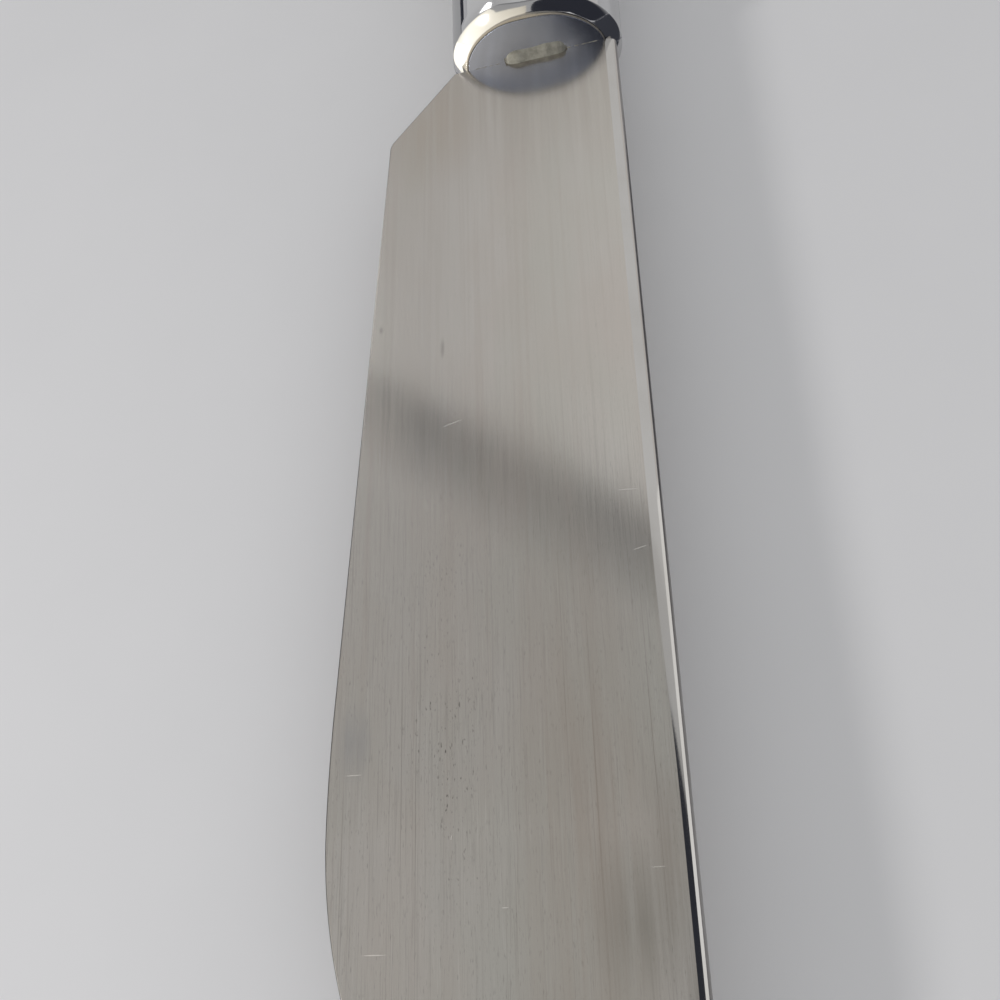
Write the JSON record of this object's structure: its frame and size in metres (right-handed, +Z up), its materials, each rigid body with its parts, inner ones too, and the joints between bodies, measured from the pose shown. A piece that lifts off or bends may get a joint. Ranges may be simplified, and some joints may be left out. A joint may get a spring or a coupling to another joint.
{
  "type": "butter knife",
  "caption": "Butter knife with a flat, round-tipped steel blade and slanted heel, its tang set through a slotted oval end cap into a polished hollow handle.",
  "frame": {"origin": "under the middle of the knife's box, on the surface it lies on", "axes": "+Y from the tip to the butt, +X towards the spine, +Z up"},
  "size_m": [0.0216, 0.16, 0.0118],
  "materials": {
    "blade_steel": "satin, brushed lengthwise, lightly worn",
    "cap_polish": "polished flat",
    "handle_polish": "mirror polished with fine use scratches",
    "silver_braze": "dull silver braze, dressed flush",
    "root_solder": "dull solder, slightly yellowed",
    "cement": "set handle cement, unseen"
  },
  "bodies": {
    "root": {"blade": "blade_steel", "end_cap": "cap_polish", "upper_shell": "handle_polish", "lower_shell": "handle_polish", "seam_braze": "silver_braze", "cap_braze": "silver_braze", "root_solder": "root_solder", "cement_core": "cement"}
  },
  "joints": []
}
